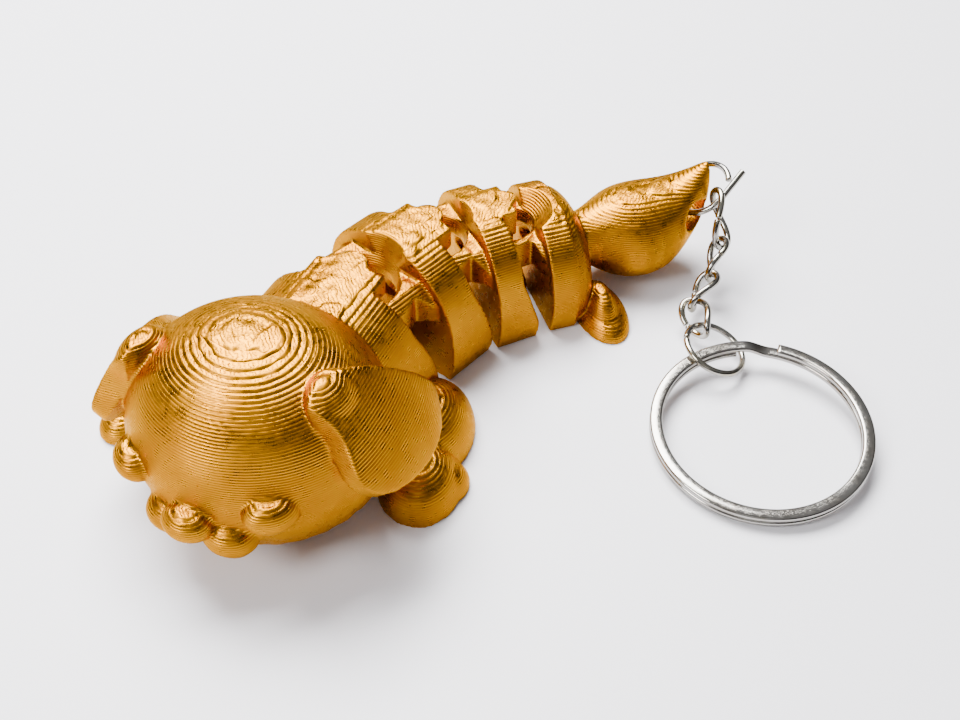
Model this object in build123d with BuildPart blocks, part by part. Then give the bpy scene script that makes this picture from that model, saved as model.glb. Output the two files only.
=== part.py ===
from build123d import *
import math
import os

# Millimetres. +Z is up and z = 0 is the table that the toy lies on.
# Every print is drawn in a frame of its own: x towards the nose, y to the toy's left.
# Behind the head that frame starts on the joint in front of the piece.

HEAD_RADII = (12.5, 13.8, 12.0)
HEAD_CENTRE_HEIGHT = 10.0
NECK = 18.2
CHEST_WIDTH, CHEST_HEIGHT = 20.8, 16.2
FRONT_SEGMENT_LENGTH, FRONT_SEGMENT_WIDTH, FRONT_SEGMENT_HEIGHT = 12.0, 20.4, 15.8
REAR_SEGMENT_LENGTH, REAR_SEGMENT_WIDTH, REAR_SEGMENT_HEIGHT = 9.8, 19.2, 15.0
HIPS_WIDTH, HIPS_HEIGHT = 18.6, 13.4

# Headings of the four prints as the toy lies, counter-clockwise from +X.
HEADINGS = (65.0, 48.0, 25.0, 18.0)

# Each joint: size against the first, ring foot, ring top, roof of the room, wall start.
NECK_JOINT = (1.00, 8.8, 13.0, 13.4, 5.4)
WAIST_JOINT = (0.84, 8.4, 12.4, 12.8, 4.9)
HIP_JOINT = (0.64, 7.4, 11.0, 11.4, 3.2)

RING_RADIUS, RING_BORE, RING_SET_BACK = 6.8, 4.4, 0.7
ROOM_RADIUS, ROOM_SET_BACK = 7.3, 0.8
POST_FOOT, POST_WAIST, POST_TOP = 4.8, 1.9, 2.1
TONGUE = 2.3
# Flare of the ring bores where they leave the back.
FLARE, HIP_FLARE = 1.36, 2.3
RIM = 0.4
# Droop and middle of the ears, the left one and then the right one from its own side.
EARS = {1: (52, (0, 13.0, 14.8)), -1: (64, (1.5, 13.2, 12.8))}
FLOOR = 1.5

# Sections of the tail: distance behind the hip joint, height, half width, half height.
TAIL = (
    (7.2, 6.4, 2.8, 3.0),
    (9.0, 6.3, 3.0, 3.2),
    (11.5, 6.2, 3.9, 4.1),
    (14.0, 6.0, 5.3, 5.3),
    (17.5, 5.9, 6.2, 5.8),
    (20.5, 6.2, 5.6, 5.6),
    (23.0, 7.2, 4.2, 5.2),
    (25.0, 8.6, 2.7, 4.8),
    (26.5, 10.6, 1.3, 3.5),
)
KEY_HOLE_BACK, KEY_HOLE_HEIGHT, KEY_HOLE_RADIUS = 24.3, 8.5, 2.0

WIRE = 0.8
HOOK_RADIUS, HOOK_CENTRE_BACK, HOOK_CENTRE_HEIGHT, HOOK_PITCH = 3.5, 26.35, 10.1, 38.0
HOOK_START, HOOK_TURN, HOOK_END = 72.0, 318.0, 4.2
LINK_TWIST = 80.0
# Each chain link: centre, heading and pitch of its long axis, spin about that axis,
# half length and half width of the wire's middle line.
CHAIN_LINKS = (
    ((-51.3, -33.2, 8.8), 101, -48, 26, 3.58, 1.89),
    ((-50.7, -29.4, 5.6), 69, -27, -18, 2.81, 1.65),
    ((-48.8, -25.7, 3.8), 55, -20, 145, 2.81, 1.65),
    ((-47.8, -21.9, 3.0), 105, -2, 138, 2.81, 1.65),
)
JUMP_RING_RADIUS, JUMP_RING_CUT = 3.64, 262.0
JUMP_RING_CENTRE, JUMP_RING_NORMAL = (-49.2, -16.9, 2.6), (-0.339, 0.042, 0.94)
SPLIT_RING_RADIUS, SPLIT_RING_BAND = 12.1, 1.4
SPLIT_RING_COIL, SPLIT_RING_SLIT = 0.72, 0.06
SPLIT_RING_CENTRE, SPLIT_RING_NORMAL = (-52.6, -5.5, 1.9), (0.04, 0.07, 1.0)
SPLIT_RING_CRANK = 263.0

os.makedirs("parts", exist_ok=True)


def arch(half, height):
    """Flat-footed rounded section, as (across, up) points from left foot to right."""
    belly = 0.3 * height
    points = [(0.92 * half, 0.0), (0.98 * half, 0.14 * height)]
    for step in range(13):
        turn = math.pi * step / 12
        across = abs(math.cos(turn)) ** (2 / 2.3)
        up = abs(math.sin(turn)) ** (2 / 2.3)
        side = math.copysign(across, math.cos(turn))
        points.append((half * side, belly + (height - belly) * up))
    points.append((-0.98 * half, 0.14 * height))
    points.append((-0.92 * half, 0.0))
    return points


def barrel(width, height, front, rear):
    """Length of body with the arch section, from x = front back to x = rear."""
    outline = arch(width / 2, height)
    with BuildPart() as body:
        with BuildSketch(Plane.YZ.offset(rear)):
            with BuildLine():
                Spline(*outline)
                Line(outline[-1], outline[0])
            make_face()
        extrude(amount=front - rear)
    return body.part


def turned(profile, x):
    """Solid of revolution about the upright line through (x, 0), from (radius, z)."""
    with BuildPart() as solid:
        with BuildSketch(Plane.XZ):
            with BuildLine():
                Polyline(*profile, close=True)
            make_face()
        revolve(axis=Axis.Z)
    return solid.part.moved(Location((x, 0, 0)))


def column(outline, low, high):
    """Upright prism on a plan outline."""
    with BuildPart() as prism:
        with BuildSketch(Plane.XY.offset(low)):
            with BuildLine():
                Polyline(*outline, close=True)
            make_face()
        extrude(amount=high - low)
    return prism.part


def egg(centre, radii, turn=0.0):
    """Ellipsoid, turned about the upright line through its centre."""
    with BuildPart() as ball:
        Sphere(1.0)
        scale(by=radii)
    return ball.part.moved(Location(centre, (0, 0, turn)))


def room(joint):
    """Space inside the back of a print for the next print's ring."""
    size, roof = joint[0], joint[3]
    radius = size * ROOM_RADIUS
    hollow = [
        (0, FLOOR),
        (radius - 0.6, FLOOR),
        (radius, FLOOR + 0.6),
        (radius, roof - 0.3),
        (radius - 0.3, roof),
        (0, roof),
    ]
    return turned(hollow, -size * ROOM_SET_BACK)


def rear_end(width, height, forward, joint):
    """Back of a print, from its rear joint at x = 0 forwards, with room and post."""
    size, roof = joint[0], joint[3]
    post = [
        (0, 0),
        (size * POST_FOOT, 0),
        (size * POST_FOOT, FLOOR),
        (size * POST_WAIST, 0.72 * roof),
        (size * POST_WAIST, 0.80 * roof),
        (size * POST_TOP, roof + 0.2),
        (size * POST_TOP, roof + 1.0),
        (0, roof + 1.0),
    ]
    lip = size * TONGUE
    window = [
        (-RIM - 0.1, FLOOR + 0.8),
        (size * 2.4, roof - 2.4),
        (size * 2.4, height + 1.0),
        (-RIM - 0.1, height + 1.0),
    ]
    with BuildPart() as windows:
        with BuildSketch(Plane.XZ):
            with BuildLine():
                Polyline(*window, close=True)
            make_face()
        extrude(amount=width, both=True)
        Box(40, size * 8.6, 60, mode=Mode.SUBTRACT)
    with BuildPart() as tongue:
        with BuildSketch(Plane.XY.offset(roof)):
            Circle(lip)
            with Locations((0.6 * lip, 0)):
                Rectangle(1.2 * lip, 2 * lip)
        extrude(amount=height)
        add(barrel(width, height, 1.2 * lip, -1.2 * lip), mode=Mode.INTERSECT)
    with BuildPart() as back:
        add(barrel(width, height, forward, -RIM))
        add(room(joint), mode=Mode.SUBTRACT)
        add(windows.part, mode=Mode.SUBTRACT)
        add(tongue.part)
        add(turned(post, 0.0))
    return back.part


def ring(width, height, joint):
    """Ring that reaches forwards round the post of the print in front."""
    size, foot, top = joint[:3]
    wall = joint[4]
    hoop = size * RING_RADIUS
    set_back = size * RING_SET_BACK
    arm = [
        (-wall - 0.6, 0.82 * width / 2),
        (-wall - 0.2, 0.80 * width / 2),
        (-0.66 * wall, 0.88 * hoop),
        (-0.66 * wall, -0.88 * hoop),
        (-wall - 0.2, -0.80 * width / 2),
        (-wall - 0.6, -0.82 * width / 2),
    ]
    with BuildPart() as loop:
        with BuildSketch(Plane.XY.offset(foot)):
            with Locations((-set_back, 0)):
                Circle(hoop)
        extrude(amount=top - foot)
        add(column(arm, foot, top))
        inset = barrel(width - 1.4, height - 1.6, hoop + 1, -wall - 0.6)
        add(inset, mode=Mode.INTERSECT)
    return loop.part


def bore(height, joint, flare):
    """Tapered opening through the ring and up through the back of the print."""
    size, foot, top = joint[:3]
    hole = size * RING_BORE
    mouth = [
        (0, foot - 1.0),
        (size * RING_RADIUS - 0.2, foot - 1.0),
        (size * RING_RADIUS - 0.2, foot),
        (hole, foot + 2.0),
        (hole, top - 1.2),
        (1.12 * hole, top),
        (flare * hole, height + 1.0),
        (0, height + 1.0),
    ]
    return turned(mouth, -size * RING_SET_BACK)


def segment(width, height, length, front_joint, rear_joint):
    """Middle print: ring and walls in front, post and tongue behind."""
    wall = front_joint[4]
    back = rear_end(width, height, length - wall, rear_joint)
    with BuildPart() as middle:
        add(back.moved(Location((-length, 0, 0))))
        add(ring(width, height, front_joint))
        add(bore(height, front_joint, FLARE), mode=Mode.SUBTRACT)
    return middle.part


def ear(side, droop, root):
    """Thin drooping lens with a rounded triangular outline, side = 1 on the left."""
    outline = [
        (3.1, -7.4),
        (1.0, -7.6),
        (-1.5, -6.5),
        (-4.2, -4.0),
        (-6.6, -1.1),
        (-8.4, 1.5),
        (-9.3, 3.9),
        (-8.7, 5.7),
        (-6.6, 6.5),
        (-3.4, 6.8),
        (-0.5, 6.5),
        (3.1, 5.2),
        (5.2, 3.5),
        (5.9, 1.4),
        (5.2, -0.7),
        (4.0, -4.2),
    ]
    with BuildPart() as flap:
        with BuildSketch(Plane.XY.offset(-3)):
            with BuildLine():
                Spline(*outline, periodic=True)
            make_face()
        extrude(amount=6)
        add(egg((-1.6, -0.3, 0), (8.9, 8.3, 1.9)), mode=Mode.INTERSECT)
        add(egg((0.9, -4.9, -0.2), (3.2, 3.0, 2.0)))
    tilt = Location(root, (0, 0, 5)) * Location((0, 0, 0), (-droop, 0, 0))
    left = flap.part.moved(tilt)
    return left if side > 0 else left.mirror(Plane.XZ)


def swept(path):
    """Round wire along a path."""
    with BuildPart() as wire:
        with BuildSketch(Plane(origin=path @ 0, z_dir=path % 0)):
            Circle(WIRE / 2)
        sweep(path=path)
    return wire.part


def hook_ring():
    """Open round link with one end bent straight past the other."""
    with BuildLine() as path:
        bend = CenterArc((0, 0), HOOK_RADIUS, HOOK_START, HOOK_TURN)
        Line(bend @ 0, bend @ 0 - HOOK_END * (bend % 0))
    return swept(path.wire())


def jump_loop():
    """Round link with a narrow cut."""
    with BuildLine() as path:
        CenterArc((0, 0), JUMP_RING_RADIUS, JUMP_RING_CUT + 2, 356)
    return swept(path.wire())


def twisted_link(centre, heading, pitch, spin, half_length, half_width):
    """Oval link of round wire, its two ends turned against each other."""
    points = []
    for step in range(29):
        turn = math.pi / 2 + 0.03 + (2 * math.pi - 0.06) * step / 28
        across = half_width * math.sin(turn)
        roll = math.radians(LINK_TWIST / 2 * math.cos(turn))
        point = (half_length * math.cos(turn), -across * math.sin(roll), across * math.cos(roll))
        points.append(point)
    with BuildLine() as path:
        Spline(*points)
    aim = Location((0, 0, 0), (0, 0, heading)) * Location((0, 0, 0), (0, -pitch, 0))
    spun = aim * Location((0, 0, 0), (spin, 0, 0))
    return swept(path.wire()).moved(Location(centre) * spun)


def coil(middle, start, turn):
    """One coil of the split ring, at the height middle, from the angle start."""
    radius = SPLIT_RING_RADIUS - SPLIT_RING_BAND / 2
    with BuildPart() as strand:
        with BuildSketch(Plane.XZ):
            with Locations((radius, middle)):
                RectangleRounded(SPLIT_RING_BAND, SPLIT_RING_COIL, 0.25)
        revolve(axis=Axis.Z, revolution_arc=turn)
    return strand.part.moved(Location((0, 0, 0), (0, 0, start)))


def crank():
    """Sloping step that joins the two coils, centred on the angle 0."""
    rise = (SPLIT_RING_COIL + SPLIT_RING_SLIT) / 2
    half = SPLIT_RING_COIL / 2
    slope = [
        (2.2, rise + half),
        (1.4, rise + half),
        (-1.4, half - rise),
        (-2.2, half - rise),
        (-2.2, -half - rise),
        (-1.4, -half - rise),
        (1.4, rise - half),
        (2.2, rise - half),
    ]
    with BuildPart() as step:
        with BuildSketch(Plane.YZ.offset(SPLIT_RING_RADIUS - 2 * SPLIT_RING_BAND)):
            with BuildLine():
                Polyline(*slope, close=True)
            make_face()
        extrude(amount=3 * SPLIT_RING_BAND)
        with BuildSketch(Plane.XY.offset(-2)):
            Circle(SPLIT_RING_RADIUS - 0.02)
            Circle(SPLIT_RING_RADIUS - SPLIT_RING_BAND + 0.02, mode=Mode.SUBTRACT)
        extrude(amount=4, mode=Mode.INTERSECT)
    return step.part


def place(index, joint_points):
    """Frame of one print in the row frame."""
    x, y = joint_points[index]
    return Location((x, y, 0), (0, 0, HEADINGS[index]))


def joints():
    """Plan positions of the four print frames, walked back from the head."""
    points = [(0.0, 0.0)]
    for heading, step in zip(HEADINGS, (NECK, FRONT_SEGMENT_LENGTH, REAR_SEGMENT_LENGTH)):
        back = math.radians(heading)
        x, y = points[-1]
        points.append((x - step * math.cos(back), y - step * math.sin(back)))
    return points


FRAMES = joints()
UNDER = Box(200, 200, 20, align=(Align.CENTER, Align.CENTER, Align.MAX))

chest = rear_end(CHEST_WIDTH, CHEST_HEIGHT, 14.0, NECK_JOINT)
with BuildPart() as head:
    add(egg((0, 0, HEAD_CENTRE_HEIGHT), HEAD_RADII))
    add(room(NECK_JOINT).moved(Location((-NECK, 0, 0))), mode=Mode.SUBTRACT)
    add(chest.moved(Location((-NECK, 0, 0))))
    add(egg((-12.0, 11.8, 0), (7.0, 5.4, 6.2), 8))
    add(egg((-5.6, 14.4, 0), (5.4, 4.6, 4.8), 20))
    add(egg((-3.4, 15.7, 0), (3.0, 2.8, 2.5)))
    add(egg((-6.8, 17.0, 0), (2.8, 2.4, 3.0)))
    add(egg((-9.0, -14.0, 0), (7.4, 6.4, 6.4), -24))
    add(egg((-2.6, -17.4, 0), (5.2, 4.5, 4.4), -35))
    add(egg((0.9, -19.3, 0), (3.0, 2.9, 2.6)))
    add(egg((-1.9, -20.9, 0), (2.9, 2.7, 2.4)))
    for side in (1, -1):
        add(egg((10.2, 7.7 * side, 11.2), (2.0, 2.7, 1.9), 38 * side))
        add(egg((11.3, 3.2 * side, 6.9), (2.5, 3.0, 2.1)))
        add(ear(side, *EARS[side]))
    add(egg((13.1, 0, 9.0), (2.0, 2.7, 1.8)))
    add(UNDER, mode=Mode.SUBTRACT)
with BuildPart() as head_and_chest:
    add(head.part.moved(place(0, FRAMES)))
head_and_chest.part.label = "head_and_chest"
export_step(head_and_chest.part, "parts/head_and_chest.step")

with BuildPart() as front_segment:
    add(
        segment(
            FRONT_SEGMENT_WIDTH,
            FRONT_SEGMENT_HEIGHT,
            FRONT_SEGMENT_LENGTH,
            NECK_JOINT,
            WAIST_JOINT,
        ).moved(place(1, FRAMES))
    )
front_segment.part.label = "front_segment"
export_step(front_segment.part, "parts/front_segment.step")

with BuildPart() as rear_segment:
    add(
        segment(
            REAR_SEGMENT_WIDTH,
            REAR_SEGMENT_HEIGHT,
            REAR_SEGMENT_LENGTH,
            WAIST_JOINT,
            HIP_JOINT,
        ).moved(place(2, FRAMES))
    )
rear_segment.part.label = "rear_segment"
export_step(rear_segment.part, "parts/rear_segment.step")

with BuildPart() as tail:
    for back, middle, across, up in TAIL:
        with BuildSketch(Plane.YZ.offset(-back)):
            with Locations((0, middle)):
                Ellipse(across, up)
    loft()

with BuildPart() as hips:
    add(barrel(HIPS_WIDTH, HIPS_HEIGHT, -HIP_JOINT[4], -6.6))
    add(egg((-6.7, 0, 4.6), (3.5, 9.2, 8.3)))
    add(tail.part)
    for side in (1, -1):
        add(egg((-10.2, 7.6 * side, 0), (3.2, 5.6, 2.6)))
        add(egg((-10.0, 7.6 * side, 0), (2.1, 3.9, 4.6)))
    add(UNDER, mode=Mode.SUBTRACT)
    add(ring(HIPS_WIDTH, HIPS_HEIGHT, HIP_JOINT))
    add(bore(HIPS_HEIGHT, HIP_JOINT, HIP_FLARE), mode=Mode.SUBTRACT)
    with BuildSketch(Plane.XZ.offset(-10)):
        with Locations((-KEY_HOLE_BACK, KEY_HOLE_HEIGHT)):
            Circle(KEY_HOLE_RADIUS)
    extrude(amount=20, mode=Mode.SUBTRACT)
with BuildPart() as hips_and_tail:
    add(hips.part.moved(place(3, FRAMES)))
hips_and_tail.part.label = "hips_and_tail"
export_step(hips_and_tail.part, "parts/hips_and_tail.step")

hook_aim = Location((-HOOK_CENTRE_BACK, 0, HOOK_CENTRE_HEIGHT), (0, HOOK_PITCH - 180, 0))
with BuildPart() as tail_jump_link:
    add(hook_ring().moved(place(3, FRAMES) * hook_aim))
tail_jump_link.part.label = "tail_jump_link"
export_step(tail_jump_link.part, "parts/tail_jump_link.step")

for number, numbers in enumerate(CHAIN_LINKS, 1):
    with BuildPart() as chain_link:
        add(twisted_link(*numbers))
    chain_link.part.label = f"chain_link_{number}"
    export_step(chain_link.part, f"parts/chain_link_{number}.step")

with BuildPart() as jump_ring:
    add(jump_loop().moved(Location(Plane(JUMP_RING_CENTRE, (0, 1, 0), JUMP_RING_NORMAL))))
jump_ring.part.label = "jump_ring"
export_step(jump_ring.part, "parts/jump_ring.step")

with BuildPart() as coils:
    offset = (SPLIT_RING_COIL + SPLIT_RING_SLIT) / 2
    add(coil(offset, SPLIT_RING_CRANK + 8, 340))
    add(coil(-offset, SPLIT_RING_CRANK + 12, 340))
    add(crank().moved(Location((0, 0, 0), (0, 0, SPLIT_RING_CRANK))))
with BuildPart() as split_ring:
    add(coils.part.moved(Location(Plane(SPLIT_RING_CENTRE, (1, 0, 0), SPLIT_RING_NORMAL))))
split_ring.part.label = "split_ring"
export_step(split_ring.part, "parts/split_ring.step")
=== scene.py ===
import math
import bmesh
import bpy
import numpy as np
from mathutils import Matrix, Vector, noise


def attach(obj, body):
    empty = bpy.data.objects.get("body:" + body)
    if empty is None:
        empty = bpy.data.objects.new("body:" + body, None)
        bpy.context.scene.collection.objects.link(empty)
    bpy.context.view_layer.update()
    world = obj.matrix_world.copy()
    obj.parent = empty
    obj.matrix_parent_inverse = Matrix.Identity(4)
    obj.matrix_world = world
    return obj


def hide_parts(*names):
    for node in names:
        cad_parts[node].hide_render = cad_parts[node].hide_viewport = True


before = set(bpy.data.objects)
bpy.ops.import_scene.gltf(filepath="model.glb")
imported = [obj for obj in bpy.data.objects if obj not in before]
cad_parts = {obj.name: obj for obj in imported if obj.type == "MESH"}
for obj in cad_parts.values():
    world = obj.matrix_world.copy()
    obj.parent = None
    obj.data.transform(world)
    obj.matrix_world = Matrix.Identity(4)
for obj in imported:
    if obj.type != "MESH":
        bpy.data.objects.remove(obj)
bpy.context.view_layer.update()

MM = 0.001
PRINTS = ("head_and_chest", "front_segment", "rear_segment", "hips_and_tail")
HEADING = dict(zip(PRINTS, (65.0, 48.0, 25.0, 18.0)))
LAYER = 0.25 * MM
WIRE = 0.4 * MM
JUMP_WIRE = 0.37 * MM
VOXEL = 0.2 * MM
RASTER = 0.42 * MM
HOOK_RADIUS, HOOK_START, HOOK_TURN, HOOK_TAIL = 3.5, 72.0, 318.0, 4.2
HALF_TWIST = 40.0
NOSE_CENTRE, NOSE_RADII = (13.1, 0, 9.0), (2.0, 2.7, 1.8)


# ---------------------------------------------------------------- materials
class Nodes:
    """Short way to write a material's node tree."""

    def __init__(self, name):
        self.material = bpy.data.materials.new(name)
        self.material.use_nodes = True
        self.tree = self.material.node_tree
        self.shader = self.tree.nodes["Principled BSDF"]

    def add(self, kind, inputs=None, **settings):
        node = self.tree.nodes.new(kind)
        for key, value in settings.items():
            setattr(node, key, value)
        for key, value in (inputs or {}).items():
            if isinstance(value, bpy.types.NodeSocket):
                self.tree.links.new(value, node.inputs[key])
            else:
                node.inputs[key].default_value = value
        return node

    def math(self, operation, a, b=0.0, c=0.0):
        return self.add("ShaderNodeMath", {0: a, 1: b, 2: c}, operation=operation).outputs[0]

    def ramp(self, value, low, high, to_low=0.0, to_high=1.0):
        node = self.add(
            "ShaderNodeMapRange",
            {0: value, 1: low, 2: high, 3: to_low, 4: to_high},
            interpolation_type="SMOOTHSTEP",
        )
        return node.outputs[0]

    def mix(self, factor, a, b):
        node = self.add("ShaderNodeMix", data_type="RGBA")
        for socket, value in ((node.inputs[0], factor), (node.inputs[6], a), (node.inputs[7], b)):
            if isinstance(value, bpy.types.NodeSocket):
                self.tree.links.new(value, socket)
            else:
                socket.default_value = value
        return node.outputs[2]

    def noise(self, vector, scale, detail=2.0, roughness=0.5):
        node = self.add(
            "ShaderNodeTexNoise",
            {"Vector": vector, "Scale": scale, "Detail": detail, "Roughness": roughness},
        )
        return node.outputs[0]


def gold_print(name, heading):
    """Silk filament: layer lines on the sides, raster lines on the flat tops."""
    n = Nodes(name)
    place = n.add("ShaderNodeTexCoord").outputs["Object"]
    normal = n.add("ShaderNodeNewGeometry").outputs["Normal"]
    parts = n.add("ShaderNodeSeparateXYZ", {0: place})
    up = n.math("ABSOLUTE", n.add("ShaderNodeSeparateXYZ", {0: normal}).outputs[2])
    wobble = n.math("MULTIPLY", n.math("SUBTRACT", n.noise(place, 420.0), 0.5), 0.35 * LAYER)
    height = n.math("ADD", parts.outputs[2], wobble)
    phase = n.math("FRACT", n.math("DIVIDE", height, LAYER))
    crest = n.math("ABSOLUTE", n.math("MULTIPLY_ADD", phase, 2.0, -1.0))
    bead = n.math("SUBTRACT", 1.0, n.math("POWER", crest, 2.2))
    turned = n.add(
        "ShaderNodeMapping", {"Vector": place, "Rotation": (0, 0, math.radians(45.0 - heading))}
    )
    across = n.add("ShaderNodeSeparateXYZ", {0: turned.outputs[0]}).outputs[0]
    wave = n.math("MULTIPLY", n.math("SUBTRACT", n.noise(place, 520.0, 3.0, 0.65), 0.5), 1.6 * MM)
    line = n.math("FRACT", n.math("DIVIDE", n.math("ADD", across, wave), RASTER))
    ridge = n.math("ABSOLUTE", n.math("MULTIPLY_ADD", line, 2.0, -1.0))
    raster = n.math("SUBTRACT", 1.0, n.math("POWER", ridge, 2.0))
    flat = n.ramp(up, 0.94, 0.985)
    sides = n.math("MULTIPLY", bead, n.math("SUBTRACT", 1.0, flat))
    lines = n.math("ADD", sides, n.math("MULTIPLY", raster, n.math("MULTIPLY", flat, 0.75)))
    lumps = n.noise(place, 1100.0, 2.0, 0.5)
    rough_top = n.math("MULTIPLY", n.noise(place, 1500.0, 4.0, 0.7), n.math("MULTIPLY", flat, 2.2))
    relief = n.math("ADD", n.math("ADD", lines, n.math("MULTIPLY", lumps, 0.3)), rough_top)
    bump = n.add("ShaderNodeBump", {"Height": relief, "Strength": 0.7, "Distance": 0.05 * MM})
    cloud = n.noise(place, 160.0, 3.0)
    bright = n.mix(n.ramp(cloud, 0.3, 0.7), (0.40, 0.150, 0.0, 1), (0.50, 0.205, 0.0, 1))
    # painted shade: the colour darkens towards dark brown in the layer and raster grooves, half as
    # much on steep sides as on level faces
    groove_shade = n.math("MULTIPLY_ADD", lines, -0.34, 0.34)
    groove_shade_weight = n.ramp(up, 0.25, 0.7, 0.5, 1.0)
    colour = n.mix(n.math("MULTIPLY", groove_shade, groove_shade_weight), bright, (0.16, 0.035, 0.0, 1))
    n.tree.links.new(colour, n.shader.inputs["Base Color"])
    n.tree.links.new(n.ramp(lumps, 0.3, 0.7, 0.25, 0.38), n.shader.inputs["Roughness"])
    n.tree.links.new(bump.outputs[0], n.shader.inputs["Normal"])
    n.shader.inputs["Metallic"].default_value = 1.0
    n.shader.inputs["Specular IOR Level"].default_value = 0.4
    n.shader.inputs["Specular Tint"].default_value = (1.0, 0.78, 0.40, 1)
    return n.material


def nickel(name, warm):
    """Polished nickel plate with drawing lines and small dents."""
    n = Nodes(name)
    place = n.add("ShaderNodeTexCoord").outputs["Object"]
    soft = n.noise(place, 380.0, 2.0)
    fine = n.noise(place, 2600.0, 3.0, 0.7)
    relief = n.math("ADD", soft, n.math("MULTIPLY", fine, 0.12))
    bump = n.add("ShaderNodeBump", {"Height": relief, "Strength": 0.35, "Distance": 0.06 * MM})
    tint = n.mix(n.ramp(soft, 0.35, 0.7), (0.36, 0.345, 0.32, 1), (0.32, 0.295, 0.26 - warm, 1))
    n.tree.links.new(tint, n.shader.inputs["Base Color"])
    n.tree.links.new(n.ramp(fine, 0.3, 0.75, 0.10, 0.24), n.shader.inputs["Roughness"])
    n.tree.links.new(bump.outputs[0], n.shader.inputs["Normal"])
    n.shader.inputs["Metallic"].default_value = 1.0
    return n.material


# ---------------------------------------------------------------- mesh tools
def new_piece(name, mesh, body, node, material):
    """Puts a finished mesh in the scene in place of a CAD node."""
    piece = bpy.data.objects.new(name, mesh)
    bpy.context.scene.collection.objects.link(piece)
    mesh.materials.clear()
    mesh.materials.append(material)
    for polygon in mesh.polygons:
        polygon.use_smooth = True
    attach(piece, body)
    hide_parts(node)
    return piece


def with_nose(mesh):
    """Adds the nose, an ellipsoid that stands out between the muzzle lobes."""
    bm = bmesh.new()
    bm.from_mesh(mesh)
    place = turn_z(HEADING["head_and_chest"]) @ Matrix.Translation(Vector(NOSE_CENTRE) * MM)
    size = Matrix.Diagonal((*(MM * radius for radius in NOSE_RADII), 1))
    bmesh.ops.create_icosphere(bm, subdivisions=4, radius=1.0, matrix=place @ size)
    bm.to_mesh(mesh)
    bm.free()


def remeshed(source, voxel):
    """Closed even mesh of a CAD node."""
    copy = bpy.data.objects.new("work", source.data.copy())
    if source.name.startswith("head_and_chest"):
        with_nose(copy.data)
    bpy.context.scene.collection.objects.link(copy)
    modifier = copy.modifiers.new("remesh", "REMESH")
    modifier.mode = "VOXEL"
    modifier.voxel_size = voxel
    graph = bpy.context.evaluated_depsgraph_get()
    mesh = bpy.data.meshes.new_from_object(copy.evaluated_get(graph))
    bpy.data.objects.remove(copy)
    return mesh


def arrays(mesh):
    """Vertex positions and edge ends of a mesh as arrays."""
    points = np.empty(len(mesh.vertices) * 3)
    mesh.vertices.foreach_get("co", points)
    edges = np.empty(len(mesh.edges) * 2, dtype=np.int64)
    mesh.edges.foreach_get("vertices", edges)
    return points.reshape(-1, 3), edges.reshape(-1, 2)


def eased(points, edges, rounds, share):
    """Softens creases; share pulls each vertex towards its neighbours."""
    count = np.bincount(edges.ravel(), minlength=len(points))[:, None]
    for sign in (1.0, -0.4) * rounds:
        total = np.zeros_like(points)
        np.add.at(total, edges[:, 0], points[edges[:, 1]])
        np.add.at(total, edges[:, 1], points[edges[:, 0]])
        points = points + sign * share * (total / count - points)
    return points


def between(value, low, high):
    """Smooth step of an array from 0 at low to 1 at high."""
    share = np.clip((value - low) / (high - low), 0.0, 1.0)
    return share * share * (3.0 - 2.0 * share)


def layered(mesh, points):
    """Steps the gentle slopes into print layers and roughens the level tops."""
    normals = np.empty(len(mesh.vertices) * 3)
    mesh.vertex_normals.foreach_get("vector", normals)
    up = normals.reshape(-1, 3)[:, 2]
    slope = between(up, 0.45, 0.75)
    top = between(up, 0.90, 0.98) * between(points[:, 2], 8.0 * MM, 9.0 * MM)
    wave = np.array([noise.noise(Vector(p) * 900.0) for p in points])
    patch = np.array([noise.noise(Vector(p) * 230.0) for p in points])
    level = points[:, 2] + 0.05 * MM * patch
    drop = -0.85 * LAYER / (2 * math.pi) * np.sin(2 * math.pi * level / LAYER) * slope
    rise = (0.10 * wave + 0.14 * (between(patch, 0.08, 0.16) - 0.5)) * MM * top
    under = between(-up, 0.20, 0.60) * between(points[:, 2], 2.0 * MM, 3.0 * MM)
    strings = 0.22 * MM * wave * under
    moved = points.copy()
    moved[:, 2] += drop + rise + strings
    return moved


def printed(name):
    """Detailed print in place of the CAD node."""
    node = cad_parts[name]
    mesh = remeshed(node, VOXEL)
    points, edges = arrays(mesh)
    points = eased(points, edges, 4, 0.5)
    mesh.vertices.foreach_set("co", points.ravel())
    mesh.update()
    mesh.vertices.foreach_set("co", layered(mesh, points).ravel())
    mesh.update()
    return new_piece(name + "_print", mesh, name, name, GOLD[name])


def tube(points, radius, sides=18):
    """Round wire along points, with chamfered ends."""
    points = [Vector(p) for p in points]
    count = len(points)
    tangents = []
    for i in range(count):
        ahead, behind = points[min(i + 1, count - 1)], points[max(i - 1, 0)]
        tangents.append((ahead - behind).normalized())
    side = tangents[0].orthogonal().normalized()
    rings = []
    for i, point in enumerate(points):
        side = (side - side.dot(tangents[i]) * tangents[i]).normalized()
        rings.append((point, side.copy(), tangents[i].cross(side), radius))
    first, last = rings[0], rings[-1]
    inset = 0.18 * radius
    rings[0] = (first[0] + inset * tangents[0], *first[1:])
    rings[-1] = (last[0] - inset * tangents[-1], *last[1:])
    rings.insert(0, (first[0], first[1], first[2], 0.8 * radius))
    rings.append((last[0], last[1], last[2], 0.8 * radius))
    bm = bmesh.new()
    loops = []
    for centre, a, b, r in rings:
        loop = []
        for k in range(sides):
            turn = 2 * math.pi * k / sides
            loop.append(bm.verts.new(centre + r * (math.cos(turn) * a + math.sin(turn) * b)))
        loops.append(loop)
    for first, second in zip(loops, loops[1:]):
        for k in range(sides):
            j = (k + 1) % sides
            bm.faces.new((first[k], first[j], second[j], second[k]))
    bm.faces.new(list(reversed(loops[0])))
    bm.faces.new(loops[-1])
    bmesh.ops.recalc_face_normals(bm, faces=bm.faces)
    mesh = bpy.data.meshes.new("tube")
    bm.to_mesh(mesh)
    bm.free()
    return mesh


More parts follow.
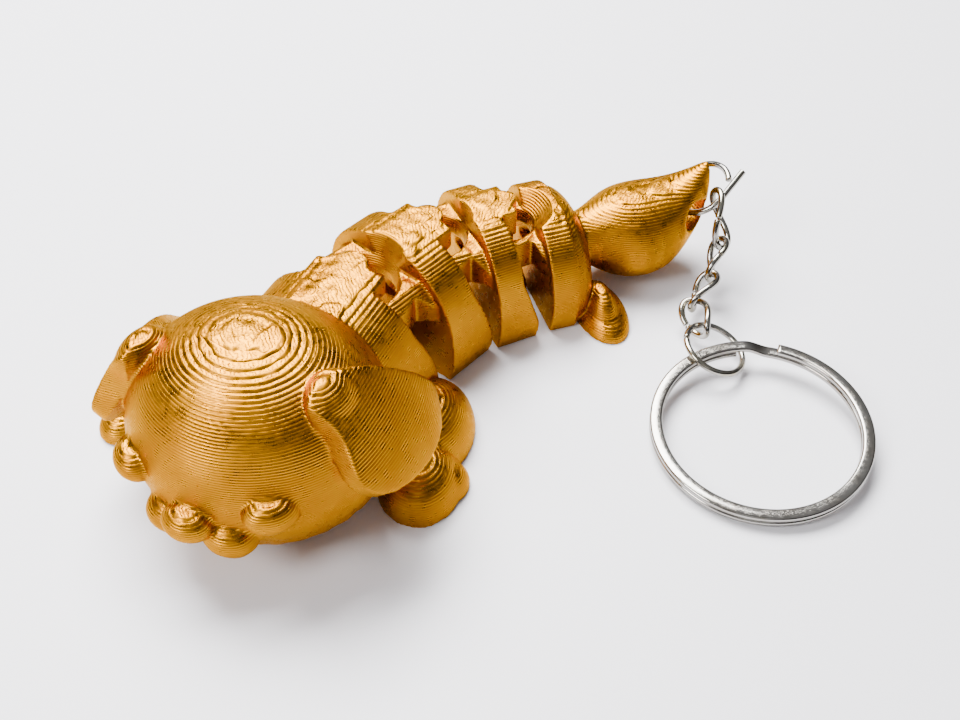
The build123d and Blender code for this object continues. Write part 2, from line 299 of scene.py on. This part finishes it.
def turn_z(degrees):
    return Matrix.Rotation(math.radians(degrees), 4, "Z")


def turn_y(degrees):
    return Matrix.Rotation(math.radians(degrees), 4, "Y")


def turn_x(degrees):
    return Matrix.Rotation(math.radians(degrees), 4, "X")


# ---------------------------------------------------------------- the prints
GOLD = {name: gold_print("gold_silk_" + name, HEADING[name]) for name in PRINTS}
for print_name in PRINTS:
    printed(print_name)

# ---------------------------------------------------------------- the chain
STEEL = nickel("nickel_plate", 0.04)
RING_STEEL = nickel("nickel_plate_ring", 0.0)

HIP_JOINT = Vector((-24.60, -29.55, 0)) * MM
hook_place = (
    Matrix.Translation(HIP_JOINT)
    @ turn_z(HEADING["hips_and_tail"])
    @ Matrix.Translation(Vector((-26.35, 0, 10.1)) * MM)
    @ turn_y(38 - 180)
)
hook = []
for step in range(13):
    away = HOOK_TAIL * (1 - step / 13)
    turn = math.radians(HOOK_START)
    start = Vector((math.cos(turn), math.sin(turn), 0)) * HOOK_RADIUS
    along = Vector((math.sin(turn), -math.cos(turn), 0))
    hook.append(hook_place @ ((start + away * along) * MM))
for step in range(97):
    turn = math.radians(HOOK_START + HOOK_TURN * step / 96)
    hook.append(hook_place @ (Vector((math.cos(turn), math.sin(turn), 0)) * HOOK_RADIUS * MM))
new_piece(
    "tail_hook_ring", tube(hook, WIRE), "tail_jump_link", "tail_jump_link", STEEL
)

LINKS = (
    ((-51.3, -33.2, 8.8), 101, -48, 26, 3.58, 1.89),
    ((-50.7, -29.4, 5.6), 69, -27, -18, 2.81, 1.65),
    ((-48.8, -25.7, 3.8), 55, -20, 145, 2.81, 1.65),
    ((-47.8, -21.9, 3.0), 105, -2, 138, 2.81, 1.65),
)
for number, (centre, heading, pitch, spin, long, wide) in enumerate(LINKS, 1):
    aim = Matrix.Translation(Vector(centre) * MM) @ turn_z(heading) @ turn_y(-pitch) @ turn_x(spin)
    path = []
    for step in range(121):
        turn = math.pi / 2 + 0.03 + (2 * math.pi - 0.06) * step / 120
        across = wide * math.sin(turn)
        roll = math.radians(HALF_TWIST * math.cos(turn))
        point = Vector((long * math.cos(turn), -across * math.sin(roll), across * math.cos(roll)))
        path.append(aim @ (point * MM))
    name = f"chain_link_{number}"
    new_piece(name + "_wire", tube(path, WIRE), name, name, STEEL)


def facing(origin, x_dir, z_dir):
    """Frame with that z axis and the x axis as near x_dir as it can be."""
    z_axis = Vector(z_dir).normalized()
    x_axis = Vector(x_dir)
    x_axis = (x_axis - x_axis.dot(z_axis) * z_axis).normalized()
    y_axis = z_axis.cross(x_axis)
    turn = Matrix((x_axis, y_axis, z_axis)).transposed().to_4x4()
    return Matrix.Translation(Vector(origin) * MM) @ turn


ring_place = facing((-49.2, -16.9, 2.6), (0, 1, 0), (-0.339, 0.042, 0.94))
loop = []
for step in range(121):
    turn = math.radians(264 + 356 * step / 120)
    loop.append(ring_place @ (Vector((math.cos(turn), math.sin(turn), 0)) * 3.64 * MM))
new_piece("jump_ring_wire", tube(loop, JUMP_WIRE), "jump_ring", "jump_ring", STEEL)


def split_ring_mesh():
    """Two coils of rounded strip joined by a crank, as the CAD has them."""
    outer, band, coil, slit, crank = 12.1, 1.4, 0.72, 0.06, 263.0
    place = facing((-52.6, -5.5, 1.9), (1, 0, 0), (0.04, 0.07, 1.0))
    section = []
    for corner, (sx, sy) in enumerate(((1, 1), (-1, 1), (-1, -1), (1, -1))):
        for k in range(5):
            turn = math.radians(90 * corner + 90 * k / 4)
            x = sx * (band / 2 - 0.3) + 0.3 * math.cos(turn)
            y = sy * (coil / 2 - 0.3) + 0.3 * math.sin(turn)
            section.append((x, y))
    radius = outer - band / 2
    rise = (coil + slit) / 2
    bm = bmesh.new()
    loops = []
    steps = 420
    for step in range(steps + 1):
        angle = crank - 348 + 696 * step / steps
        off = angle - crank
        share = min(max((off + 7) / 14, 0), 1)
        share = share * share * (3 - 2 * share)
        level = rise * (2 * share - 1)
        turn = math.radians(angle)
        ring = []
        for x, y in section:
            r = radius + x
            p = Vector((r * math.cos(turn), r * math.sin(turn), level + y))
            ring.append(bm.verts.new(place @ (p * MM)))
        loops.append(ring)
    size = len(section)
    for first, second in zip(loops, loops[1:]):
        for k in range(size):
            j = (k + 1) % size
            bm.faces.new((first[k], first[j], second[j], second[k]))
    bm.faces.new(list(reversed(loops[0])))
    bm.faces.new(loops[-1])
    bmesh.ops.recalc_face_normals(bm, faces=bm.faces)
    mesh = bpy.data.meshes.new("split_ring")
    bm.to_mesh(mesh)
    bm.free()
    return mesh


new_piece(
    "split_ring_coils", split_ring_mesh(), "split_ring", "split_ring", RING_STEEL
)

# ---------------------------------------------------------------- the studio
floor_mesh = bpy.data.meshes.new("floor")
floor_mesh.from_pydata([(-3, -3, 0), (3, -3, 0), (3, 3, 0), (-3, 3, 0)], [], [(0, 1, 2, 3)])
floor = bpy.data.objects.new("floor", floor_mesh)
bpy.context.scene.collection.objects.link(floor)
paper = Nodes("paper")
paper.shader.inputs["Base Color"].default_value = (0.88, 0.87, 0.91, 1)
paper.shader.inputs["Roughness"].default_value = 0.55
floor_mesh.materials.append(paper.material)

world = bpy.data.worlds.new("studio")
bpy.context.scene.world = world
world.use_nodes = True
tree = world.node_tree
back = tree.nodes["Background"]
direction = tree.nodes.new("ShaderNodeTexCoord")
split = tree.nodes.new("ShaderNodeSeparateXYZ")
tree.links.new(direction.outputs["Generated"], split.inputs[0])
ramp = tree.nodes.new("ShaderNodeValToRGB")
tree.links.new(split.outputs[2], ramp.inputs[0])
ramp.color_ramp.elements[0].position = 0.0
ramp.color_ramp.elements[0].color = (0.05, 0.05, 0.05, 1)
ramp.color_ramp.elements[1].position = 0.80
ramp.color_ramp.elements[1].color = (1.0, 1.0, 1.04, 1)
middle = ramp.color_ramp.elements.new(0.35)
middle.color = (0.16, 0.155, 0.16, 1)
tree.links.new(ramp.outputs[0], back.inputs[0])
back.inputs[1].default_value = 0.35


def soft_box(name, place, aim, size, power):
    """Rectangular studio light that faces aim."""
    data = bpy.data.lights.new(name, "AREA")
    data.shape = "RECTANGLE"
    data.size, data.size_y = size
    data.energy = power
    lamp = bpy.data.objects.new(name, data)
    lamp.location = place
    lamp.rotation_euler = (Vector(aim) - Vector(place)).to_track_quat("-Z", "Y").to_euler()
    bpy.context.scene.collection.objects.link(lamp)


centre = Vector((-0.028, -0.012, 0.005))
soft_box("top", centre + Vector((0.10, -0.20, 0.36)), centre, (0.34, 0.24), 8.5)
soft_box("left", centre + Vector((0.26, 0.16, 0.26)), centre, (0.13, 0.13), 1.3)
soft_box("front", centre + Vector((0.02, 0.36, 0.24)), centre, (0.20, 0.12), 0.10)

ELEVATION = math.radians(46.4)
data = bpy.data.cameras.new("camera")
data.sensor_width = 36.0
data.lens = 39.375
data.clip_start = 0.002
camera = bpy.data.objects.new("camera", data)
down, level_part = math.sin(ELEVATION), math.cos(ELEVATION)
camera.matrix_world = Matrix(
    (
        (-1, 0, 0, -0.0218),
        (0, -down, level_part, 0.0686),
        (0, level_part, down, 0.0905),
        (0, 0, 0, 1),
    )
)
bpy.context.scene.collection.objects.link(camera)
bpy.context.scene.camera = camera
